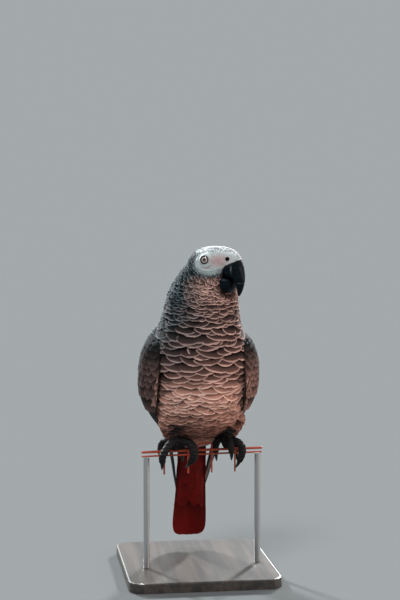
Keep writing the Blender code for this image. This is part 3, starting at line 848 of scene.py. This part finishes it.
def make_skin():
    """The one skin under all the feathers, with the bare face and the feet."""
    feet = foot_shell()
    mesh = united(bird_shell(), feet)
    points = points_of(mesh)
    foot = step(-Surface(feet).gap(points), -0.5, -0.1) * (points[:, 2] < 24)
    tint, _ = markings(points)
    tint = mix(tint, FOOT, foot)
    for sign in SIDES.values():
        height, out = eye_polar(points, sign)
        tint = mix(tint, LID_DARK, (height > 2) * (1 - step(out, LID + 0.25, LID + 0.75)))
        # painted shade in the nostril's opening
        tint = mix(tint, NOSTRIL_OPENING_SHADE, 1 - step(nostril_polar(points, sign), 1.7, 2.4))
    gape = (1 - step(bill.gap(points), 0.9, 1.9)) * step(-in_head(points)[:, 2], -9, -5)
    tint = mix(tint, GAPE_DARK, gape)
    set_attribute(mesh, "tint", tint)
    set_attribute(mesh, "bare", np.maximum(step(face_depth(points), -1, 1), foot))
    mesh.shade_smooth()
    made = finished("skin", mesh, skin_material())
    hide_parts("head", "neck", "trunk", "tail", "wing_left", "wing_right", *THIGHS, *SHANKS, *TOES)


# ---------------------------------------------------------------- feathers of head, neck, body and legs

ROW_KEYS = [  # front and back points (y, z) of the rows' planes, and how far their middle stands to the left
    (-37, 172, 4, 177, 5.4),
    (-39.5, 166, 6, 173, 4.8),
    (-45, 135, 25, 141, 1.4),
    (-47.5, 104, 39, 113, 0),
    (-48, 88, 43, 98, 0),
    (-46.5, 70, 46, 82, 0),
    (-42.5, 52, 48.5, 68, 0),
    (-35, 34, 50.5, 54, 0),
    (-21, 20, 53, 40, 0),
    (0, 11.5, 56, 26, 0),
    (19, 2, 58, 12, 0),
    (33, -5, 58.5, 0, 0),
    (44, -9, 57, -8, 0),
]


def row_spacing(level):
    levels = (-10, 10, 55, 78, 92, 122, 134, 146, 165)
    return np.interp(level, levels, (3.7, 3.8, 4.1, 5.0, 7.2, 7.2, 5.0, 3.8, 3.0))


def body_rows():
    """The rows' planes: middle, way to the front, way down, spacing and height of each."""
    keys = curve(ROW_KEYS, np.linspace(0, len(ROW_KEYS) - 1, 1200))
    front = np.stack([keys[:, 4], keys[:, 0], keys[:, 1]], -1)
    back = np.stack([keys[:, 4], keys[:, 2], keys[:, 3]], -1)
    gone = sum(np.linalg.norm(np.diff(line, axis=0), axis=1) for line in (front, back)) / 2
    gone = np.concatenate([[0], np.cumsum(gone / row_spacing(front[1:, 2]))])
    for k in range(1, int(gone[-1])):
        i = np.searchsorted(gone, k)
        ahead = unit(front[i] - back[i])
        level = front[i, 2]
        yield (front[i] + back[i]) / 2, ahead, unit(np.cross((1, 0, 0), ahead)), row_spacing(level), level


def under_wing(wings, places, normal):
    """Whether one wing covers all of the places."""
    return any(all(wing.hit(p + normal * 0.3, normal, 16) for p in places) for wing in wings)


def cover_body(wings):
    """Rows of feathers from the neck to the vent."""
    found = []
    for k, (middle, ahead, down, spacing, level) in enumerate(body_rows()):
        surface = whole if level > 106 else body
        in_row = int(np.interp(level, (10, 40, 78, 95, 125, 148, 165), (30, 27, 23, 19, 22, 32, 38)))
        for n in range(in_row):
            turn = 2 * math.pi * (n + 0.62 * k + rng.uniform(-0.28, 0.28)) / in_row
            way = ahead * math.cos(turn) + np.array((math.sin(turn), 0, 0))
            hit = surface.hit(middle + down * rng.uniform(-0.2, 0.2) * spacing, way)
            if hit is None:
                continue
            root, normal = hit
            on_face = face_depth(root[None])[0] > -2
            if on_face or in_head(root[None])[0, 0] > 14 and root[2] > 158:
                continue
            if surface is body and under_wing(wings, (root, root + down * spacing * 2.2), normal):
                continue
            found.append((root, down, spacing, level))
    roots, ways, spacing, level = (np.array(f) for f in zip(*found))
    girth = np.interp(level, (-10, 10, 50, 78, 95, 125, 138, 150, 165), (13, 16, 20, 26, 31, 27, 19, 13, 8.5))
    back = roots[:, 1] > 8
    breast = (level <= 122) & (level > 82) & ~back
    groups = [  # name, which roots, surface, finish, length in rows, how they lie
        ("neck_feathers", level > 122, whole, "body_feather", 2.9,
         dict(rise=1.2, sink=1.5, droop=0.5, power=1.6)),
        ("breast_feathers", breast, body, "body_feather", 2.5,
         dict(rise=1.4, sink=1.7, droop=0.6, power=1.6)),
        ("back_feathers", (level <= 122) & back, body, "body_feather", 2.6,
         dict(rise=0.7, sink=1.2, droop=0.7)),
        ("belly_feathers", (level <= 82) & ~back, body, "belly_feather", 2.9,
         dict(rise=1.2, sink=1.5, droop=0.5, wobble=0.06, spread=0.2, power=1.5)),
    ]
    for name, chosen, surface, finish, share, settings in groups:
        lay(name, surface, roots[chosen], ways[chosen], spacing[chosen] * share, girth[chosen],
            FINISHES[finish], "body_feathers", size=(11, 12), thick=0.3, blunt=0.34, bow=0.12, **settings)


def cover_head():
    """Small feathers on the head and throat, larger away from the bill."""
    points = body.points
    face = face_depth(points)
    beak = from_head((35, 0, 0))
    away = np.linalg.norm(points - beak, axis=1)
    spacing = np.interp(away, (8, 22, 42, 60), (1.35, 1.6, 2.2, 2.8))
    spacing = spacing * (1 + 0.2 * step(-in_head(points)[:, 2], 6, 16))
    spacing = np.where(face > -3, spacing * 0.75, spacing)
    chosen = scatter(body, (points[:, 2] > 152) & (face < 1.8) & (bill.gap(points) > 1.3), spacing)
    roots, spacing = points[chosen], spacing[chosen]
    ways = unit(roots - beak) + np.array((0, 0, -0.4))
    rise = 0.55 - 0.35 * step(face[chosen], -9, -1)
    lay("head_feathers", body, roots, ways, spacing * 2.6, spacing * 2.3, FINISHES["head_feather"], "face",
        size=(6, 5), sink=0.8, rise=rise, droop=0.25, thick=0.18, spread=0.14, power=1.4)


def cover_legs(thighs):
    """Short feathers down to the ankle."""
    points = body.points
    z = points[:, 2]
    spacing = np.interp(z, (5, 30), (2.3, 4.2))
    chosen = scatter(body, (thighs.gap(points) < 1.6) & (z < 30) & (z > 4.5), spacing)
    roots, spacing = points[chosen], spacing[chosen]
    ways = np.tile((0.0, 0.12, -1.0), (len(roots), 1))
    lay("leg_feathers", body, roots, ways, spacing * 2.7, spacing * 2.3, FINISHES["belly_feather"],
        "body_feathers", size=(8, 6), sink=0.8, rise=0.5, droop=0.4, spread=0.2, wobble=0.1)


# ---------------------------------------------------------------- wings and tail

WING_KEYS = [  # the left wing's front edge, outermost line and back edge, from the shoulder to the tip
    (38.5, -10, 113, 42, 6, 119, 33, 21, 120),
    (41.5, -24, 104, 52, 0, 109, 29, 33, 114),
    (43, -29, 90, 58, 2, 93, 24, 42, 100),
    (43.5, -29, 72, 59.5, 6, 75, 19, 49, 82),
    (44.5, -20, 50, 57, 14, 54, 15, 55, 62),
    (43, -2, 30, 46.5, 22, 34, 12, 60, 40),
    (31, 16, 8, 32, 37, 12, 10, 64, 16),
    (23, 36, -16, 23.5, 51, -14, 8, 69, -10),
    (18, 53, -42, 18, 64, -41, 6.5, 77, -37),
    (12, 70, -70, 12, 77, -70, 5.5, 85, -66),
    (7, 85, -93, 7.2, 88, -94, 4.2, 91, -92),
]
FLIGHT_REACH = np.array([  # where the flight feathers end, in wing keys, from the front edge to the back
    10, 9.92, 9.75, 9.5, 9.2, 8.85, 8.5, 8.1, 7.75, 7.45,
    7.1, 6.95, 6.85, 6.75, 6.65, 6.55, 6.45, 6.35, 6.2, 6.0,
])
GREATER_COVERTS = [  # of two rows: the start in wing keys, the feathers' length and width, how far raised
    (2.95, 21.0, 13.0, 0.35),
    (3.3, 33.0, 14.5, 0.0),
]
SHADED_WING_STOPS = [  # wing keys and colours: the wing's own grey, darkened by painted shade, most at the shoulder
    (0.7, (8, 14, 16)),
    (2.5, (18, 21, 25)),
    (5, (29, 24, 27)),
    (9, (20, 18, 20)),
]
WING_WARM_LIGHT = (colour(118, 86, 78), colour(178, 138, 127))  # feathers along the front edge, and their edges, tinted by painted warm light bounced from below


def wing_place(sign, s, t):
    """A point on a wing's outer side: s counts keys from the shoulder, and t runs from 0 at the front edge
    to 1 at the back."""
    keys = curve(WING_KEYS, s)
    front, outer, back = keys[..., 0:3], keys[..., 3:6], keys[..., 6:9]
    pull = outer * 2 - (front + back) / 2
    t = t[..., None]
    return (front * (1 - t) ** 2 + pull * 2 * t * (1 - t) + back * t**2) * np.array((sign, 1, 1))


def wing_frame(sign, s, t):
    """Place, outward normal, and how many millimetres a unit of s and of t spans."""
    down = (wing_place(sign, s + 0.05, t) - wing_place(sign, s - 0.05, t)) / 0.1
    over = (wing_place(sign, s, t + 0.02) - wing_place(sign, s, t - 0.02)) / 0.04
    normal = unit(np.cross(down, over)) * sign
    return wing_place(sign, s, t), normal, np.linalg.norm(down, axis=-1), np.linalg.norm(over, axis=-1)


def wing_vanes(name, sign, s, t, end, end_t, width, height, finish, shades, size, blunt=0.45, droop=0.5,
               thick=0.28, slope=1.2):
    """Vanes in a wing's own coordinates, each from (s, t) to (end, end_t)."""
    count = len(s)
    across, along, off, far = vane_grid(count, *size, blunt, 0.03)
    ss = per_vane(s) + per_vane(end - s) * far
    tt = per_vane(t) + per_vane(end_t - t) * far
    _, _, _, span = wing_frame(sign, ss, tt)
    fit = np.minimum(per_vane(width), span * 0.96)
    tt = tt + off * fit / span
    place, normal, _, _ = wing_frame(sign, ss, np.clip(tt, 0.0, 1.0) + np.clip(tt, -0.1, 0) * 0.2)
    u = across * 2 - 1
    lift = per_vane(height) - 0.3 - slope * (1 - along) - droop * u**2 * (fit / 14)
    tint, edge = shades
    tone = rng.normal(1, 0.09, (count, 1))
    place = place + normal * lift[..., None]
    roots = wing_place(sign, s, np.clip(t, 0, 1))
    build(name, place, normal, across, along, thick, tint * tone, edge * tone, finish, roots)


def wing_shades(sign, s, t):
    """Colours of wing feathers and of their edges."""
    tint = stops(SHADED_WING_STOPS, s)[0]
    tint = tint * (1 + 0.45 * np.sin(s * 5.1 + t * 9) * np.sin(s * 2.3 - t * 13))[:, None]
    pale = 0.06 * step(-np.abs(t - 0.55), -0.2, -0.05) * step(-s, -4, -1)
    edge = tint * 2.3 + 0.005 + pale[:, None]
    # painted warm light along the front edge, stronger on the bird's left wing
    warm = step(-t, -0.6, -0.1) * step(s, 0.3, 2.6) * (1.0 if sign > 0 else 0.4)
    return mix(tint, WING_WARM_LIGHT[0], warm), mix(edge, WING_WARM_LIGHT[1], warm)


def wing_speed(sign, s, t):
    """How many millimetres a unit of s spans."""
    return wing_frame(sign, s, t)[2]


def cover_wing(side):
    """Small coverts in rows, two rows of greater coverts, the pale lining's edge and the flight feathers."""
    sign = SIDES[side]
    s, k, rows = 0.12, 0, []
    while s < 3.0:
        _, _, speed, span = wing_frame(sign, np.array(s), np.array(0.5))
        gap = float(np.interp(s, (0, 1, 3), (4.4, 5.0, 6.4)))
        n = int(span / (gap * 1.02))
        t = (np.arange(n) + 0.5 + 0.5 * (k % 2) - 0.25) / n + rng.uniform(-0.1, 0.1, n) / n
        rows.append((np.full(n, s) + rng.uniform(-0.1, 0.1, n) * gap / speed, t, np.full(n, gap)))
        s += gap / float(speed)
        k += 1
    s, t, gap = (np.concatenate(r) for r in zip(*rows))
    end = s + gap * 2.7 / wing_speed(sign, s, t)
    wing_vanes(f"wing_coverts_{side}", sign, s, t, end, t + 0.02, gap * 2.1, rng.uniform(0.25, 0.7, len(s)),
               FINISHES["covert"], wing_shades(sign, s, t), size=(8, 7))

    rows = []
    n = 13
    for start, length, width, raised in GREATER_COVERTS:
        t = (np.arange(n) + 0.5) / n
        s = np.full(n, start) + rng.uniform(-0.03, 0.03, n)
        end = s + length / wing_speed(sign, s, t)
        rows.append((s, t, end, t + 0.01, np.full(n, width), 0.1 + 0.25 * t + raised))
    s, t, end, end_t, width, height = (np.concatenate(r) for r in zip(*rows))
    wing_vanes(f"wing_greater_coverts_{side}", sign, s, t, end, end_t, width, height, FINISHES["covert"],
               wing_shades(sign, s + 0.6, t), size=(14, 8), blunt=0.3)

    n = 22
    s = rng.uniform(2.6, 4.1, n)
    t = rng.uniform(-0.02, 0.03, n)
    end = s + rng.uniform(7, 11, n) / wing_speed(sign, s, t)
    end_t = t + rng.uniform(-0.01, 0.03, n)
    width = rng.uniform(1.8, 3, n)
    wing_vanes(f"wing_lining_{side}", sign, s, t, end, end_t, width, rng.uniform(0.6, 0.9, n),
               FINISHES["belly_feather"], WARM_LIT_LINING, size=(9, 5), blunt=0.6, droop=0.2, slope=0.6)

    n = len(FLIGHT_REACH)
    t = np.linspace(0.05, 0.95, n)
    end_t = 0.5 + (t - 0.5) * 0.85
    wing_vanes(f"wing_flight_{side}", sign, np.full(n, 3.7), t, FLIGHT_REACH, end_t, np.full(n, 15.0),
               -1.5 + 1.5 * np.arange(n) / n, FINISHES["flight"], wing_shades(sign, np.full(n, 7.0), t + 0.3),
               size=(40, 9), blunt=0.12, droop=0.45, slope=0.3, thick=0.35)


TAIL_KEYS = [  # y and z of the tail's middle line, half width and half thickness
    (45, 2, 14.5, 8.0),
    (50, -14, 15.0, 7.0),
    (56, -34, 15.2, 4.8),
    (64, -60, 16.2, 3.0),
    (72, -85, 17.6, 2.1),
    (77.5, -102, 17.6, 1.6),
    (79.5, -108, 13.0, 1.0),
]


def cover_tail(tail):
    """A fan of twelve feathers, and coverts over its root."""
    count = 12
    across, along, off, far = vane_grid(count, 30, 8, 0.16, 0.02, waist=0.6)
    order = np.arange(count) - (count - 1) / 2
    short = 1 - 0.04 * np.abs(order) / 5.5
    t = far * per_vane(short * 5.85) + 0.1
    y, z, half_width, half_thickness = np.moveaxis(curve(TAIL_KEYS, t), -1, 0)
    ahead = curve(TAIL_KEYS, t + 0.05) - curve(TAIL_KEYS, t - 0.05)
    way = unit(np.stack([np.zeros_like(t), ahead[..., 0], ahead[..., 1]], -1))
    above = np.stack([np.zeros_like(t), -way[..., 2], way[..., 1]], -1)
    fan = per_vane(order) / 5.5
    wide = np.minimum(13.5, half_width * 0.9)
    x = fan * (half_width - wide / 2) * 0.98 + off * wide
    layer = (1 - np.abs(fan)) * np.minimum(half_thickness, 1.9) * 0.75 - 0.4
    arch = -0.12 * half_width * (x / half_width) ** 2
    height = layer + arch + 0.06 * np.sign(fan) - 0.2 * (across * 2 - 1) ** 2
    places = np.stack([x, y, z], -1) + above * height[..., None]
    tone = rng.normal(1, 0.06, (count, 1))
    tint, edge = TAIL_RED
    finish = FINISHES["tail_feather"]
    build("tail_feathers", places, above, across, along, 0.4, tint * tone, edge * tone, finish,
          places[:, 0, 4])
    in_row = 14
    hits = []
    for k, z in enumerate(np.arange(2, -50, -5.5)):
        y = np.interp(-z, (-2, 14, 34, 60), (45, 50, 56, 64))
        for n in range(in_row):
            turn = 2 * math.pi * (n + 0.5 * (k % 2)) / in_row
            hits.append(tail.hit((0, y, z), (math.cos(turn), math.sin(turn), 0)))
    roots = np.array([hit[0] for hit in hits if hit])
    ways = np.tile((0.0, 0.28, -1.0), (len(roots), 1))
    lay("tail_coverts", tail, roots, ways, 26, 11, finish, "tail_feathers", size=(12, 7), sink=1.0, rise=0.1,
        droop=0.4, thick=0.3, shades=TAIL_RED)


# ---------------------------------------------------------------- eyes, bill, claws

EYE_BANDS = [  # distance from the eye's axis, and colour: pupil, pale iris, dark ring
    (0.0, (5, 5, 6)), (1.4, (6, 6, 7)), (1.56, (96, 82, 80)), (1.85, (190, 174, 168)), (2.5, (196, 172, 168)),
    (2.9, (128, 98, 98)), (3.2, (34, 26, 28)), (4.6, (12, 10, 12)),
]


def eye_material():
    n = Nodes("eye_finish", Roughness=0.06, Coat_Weight=1.0, Coat_Roughness=0.02)
    uneven = n.math("SUBTRACT", n.noise(0.9, 4), 0.5)
    ramp = n.add("ShaderNodeValToRGB")
    out = n.math("MULTIPLY_ADD", uneven, 0.25, n.attribute("out", "Fac"))
    n.put(n.math("DIVIDE", out, EYE_RADIUS), ramp.inputs[0])
    elements = ramp.color_ramp.elements
    while len(elements) < len(EYE_BANDS):
        elements.new(0.5)
    for element, (place, shade) in zip(elements, EYE_BANDS):
        element.position = place / EYE_RADIUS
        element.color = (*colour(*shade), 1)
    n.feed(Base_Color=ramp.outputs[0])
    return n.material


def make_eyes():
    finish = eye_material()
    for side, sign in SIDES.items():
        axis = eye_axis(sign)
        bm = bmesh.new()
        bmesh.ops.create_uvsphere(bm, u_segments=64, v_segments=48, radius=EYE_RADIUS - 0.02)
        turn = Vector((0, 0, 1)).rotation_difference(Vector(axis))
        for v in bm.verts:
            v.co = turn @ v.co
        mesh = as_mesh(bm, f"eyeball_{side}")
        co = np.array([v.co for v in mesh.vertices])
        out = np.linalg.norm(co - (co @ axis)[:, None] * axis, axis=1)
        set_points(mesh, co + from_head(EYE_PLACE, sign))
        set_attribute(mesh, "out", np.where(co @ axis < 0, EYE_RADIUS, out))
        mesh.shade_smooth()
        made = finished(f"eyeball_{side}", mesh, finish)
        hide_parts(f"eye_{side}")


def bill_material():
    n = Nodes("bill_finish", Specular_IOR_Level=0.16, Specular_Tint=(0.5, 0.76, 1.0, 1.0))
    lines = n.noise(1.0, 4, (1.6, 1.6, 0.22), roughness=0.6)
    cloud = n.noise(0.25, 3)
    shade = n.blend(n.smooth(lines, 0.42, 0.8), colour(3, 4, 5), colour(22, 27, 30))
    shade = n.blend(n.smooth(cloud, 0.5, 0.8, 0.0, 0.4), shade, colour(18, 24, 27))
    # the pale line and the painted highlight from the pale attribute, broken up by noise
    paleness = n.math("MULTIPLY", n.attribute("pale", "Fac"), n.smooth(n.noise(1.1, 4, roughness=0.6), 0.4, 0.62))
    shade = n.blend(paleness, shade, colour(140, 150, 154))
    n.feed(Base_Color=shade, Roughness=n.math("MULTIPLY_ADD", cloud, 0.3, 0.2))
    n.bump(lines, 0.12, 0.5)
    return n.material


def make_horn():
    """Smooth bill halves and claws in place of the faceted ones."""
    finish = bill_material()
    for name in ("bill_upper", "bill_lower"):
        mesh = shell([name], BILL_VOXEL, swell=0.1)
        relax(mesh, 50)
        ahead, _, up = in_head(points_of(mesh)).T
        # a pale line down the side of the upper bill, and a painted highlight along its cutting edge near the
        # tip
        seam = np.abs(ahead - 32 - 0.06 * up) / 0.45 + step(np.abs(up + 3), 2.5, 6) * 3
        lip = np.abs(up + 15.8) / 0.45 + step(-ahead, -37, -34) * 3
        pale = bell(seam, 0, 1) * 0.8 + bell(lip, 0, 1) * 0.35
        set_attribute(mesh, "pale", pale * (name == "bill_upper"))
        mesh.shade_smooth()
        made = finished(f"{name}_horn", mesh, finish)
        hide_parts(name)
    n = Nodes("claw_finish", Roughness=0.35, Coat_Weight=0.2, Specular_IOR_Level=0.2)
    n.feed(Base_Color=n.blend(n.noise(0.8, 3), colour(10, 9, 11), colour(34, 31, 33)))
    for name in CLAWS:
        mesh = shell([name], CLAW_VOXEL, swell=0.15)
        relax(mesh, 12)
        mesh.shade_smooth()
        made = finished(f"{name}_horn", mesh, n.material)
        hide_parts(name)


# ---------------------------------------------------------------- perch, stand, studio

FLOOR = (0.1326, 0.1397, 0.141)  # as bright under these lights as the world behind it
WORLD = (0.80, 0.87, 0.89, 1)
WORLD_STRENGTH = 0.46
SUNS = [  # name, azimuth, elevation, power, softness, colour
    ("key", -30, 52, 1.7, 16, (0.97, 0.99, 1.0)),
    ("fill", 70, 8, 1.4, 36, (1.0, 0.76, 0.64)),
    ("rim", 206, 28, 6.2, 6, (0.94, 0.98, 1.0)),
    ("rim_left", 150, 24, 5.4, 6, (0.98, 0.99, 1.0)),
    ("top", 180, 62, 1.4, 10, (0.96, 0.99, 1.0)),
]
CAMERA_SIDE = (-8, 4)  # azimuth and elevation
CAMERA_TARGET = (0.0015, -0.022, 0.277)
CAMERA_DISTANCE = 1.405


def paint_frame():
    """Finishes for the perch and the stand, whose CAD nodes are shown as they are."""
    paint = Nodes("rim_paint_finish")
    rust = paint.smooth(paint.noise(0.9, 5, roughness=0.65), 0.45, 0.75)
    paint.feed(Base_Color=paint.blend(rust, colour(172, 66, 38), colour(112, 46, 28)),
               Roughness=paint.math("MULTIPLY_ADD", rust, 0.35, 0.4))
    paint.bump(paint.noise(1.2, 4), 0.12, 0.6)
    base = Nodes("base_finish", Roughness=0.42, Coat_Weight=0.15)
    grain = base.noise(0.12, 5, (1.0, 0.06, 1.0), roughness=0.6, distortion=0.6)
    base.feed(Base_Color=base.blend(base.smooth(grain, 0.35, 0.7), colour(44, 40, 38), colour(74, 66, 60)))
    base.bump(grain, 0.15, 0.5)
    steel = Nodes("rod_finish", colour(188, 189, 191), Metallic=1.0)
    steel.feed(Roughness=steel.math("MULTIPLY_ADD", steel.noise(0.5, 4, (1, 1, 12)), 0.3, 0.2))
    looks = {"perch_rim": paint, "stand_base": base, "stand_rod_left": steel, "stand_rod_right": steel}
    for name, look in looks.items():
        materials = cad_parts[name].data.materials
        materials.clear()
        materials.append(look.material)


def aim(obj, azimuth, elevation):
    """Turns a lamp or camera on that side to face the bird, and gives the way out to it. Azimuth 0 is
    straight before the perch, and 90 is the bird's left."""
    a, e = math.radians(azimuth), math.radians(elevation)
    back = Vector((math.sin(a) * math.cos(e), -math.cos(a) * math.cos(e), math.sin(e)))
    obj.rotation_euler = (-back).to_track_quat("-Z", "Y").to_euler()
    return back


def make_studio():
    bm = bmesh.new()
    bmesh.ops.create_circle(bm, cap_ends=True, segments=96, radius=6.0)
    mesh = as_mesh(bm, "floor")
    mesh.materials.append(Nodes("floor_finish", FLOOR, Roughness=1.0, Specular_IOR_Level=0.0).material)
    floor = make_object("floor", mesh)
    world = bpy.data.worlds.new("studio")
    bpy.context.scene.world = world
    world.use_nodes = True
    background = world.node_tree.nodes["Background"]
    background.inputs["Color"].default_value = WORLD
    background.inputs["Strength"].default_value = WORLD_STRENGTH
    for name, azimuth, elevation, power, softness, tint in SUNS:
        data = bpy.data.lights.new(name, "SUN")
        data.energy = power
        data.angle = math.radians(softness)
        data.color = tint
        aim(make_object(name, data), azimuth, elevation)
    bpy.context.scene.view_settings.view_transform = "Standard"


def make_camera():
    data = bpy.data.cameras.new("camera")
    data.lens = 85
    data.sensor_width = 36
    camera = make_object("camera", data)
    back = aim(camera, *CAMERA_SIDE)
    camera.location = Vector(CAMERA_TARGET) + back * CAMERA_DISTANCE
    bpy.context.scene.camera = camera


# ---------------------------------------------------------------- all of it


def smooth_surface(names):
    """The smoothed outline of CAD nodes."""
    mesh = shell(names, VOXEL)
    relax(mesh, 6)
    return Surface(mesh)


body = smooth_surface(BODY)
whole = smooth_surface(BODY + WINGS)
bill = Surface(shell(["bill_upper", "bill_lower"], VOXEL))

make_skin()
cover_body([Surface(shell([name], VOXEL)) for name in WINGS])
cover_head()
cover_legs(Surface(shell(THIGHS, VOXEL)))
for side in SIDES:
    cover_wing(side)
cover_tail(Surface(shell(["tail"], TAIL_VOXEL)))
make_eyes()
make_horn()
paint_frame()
make_studio()
make_camera()
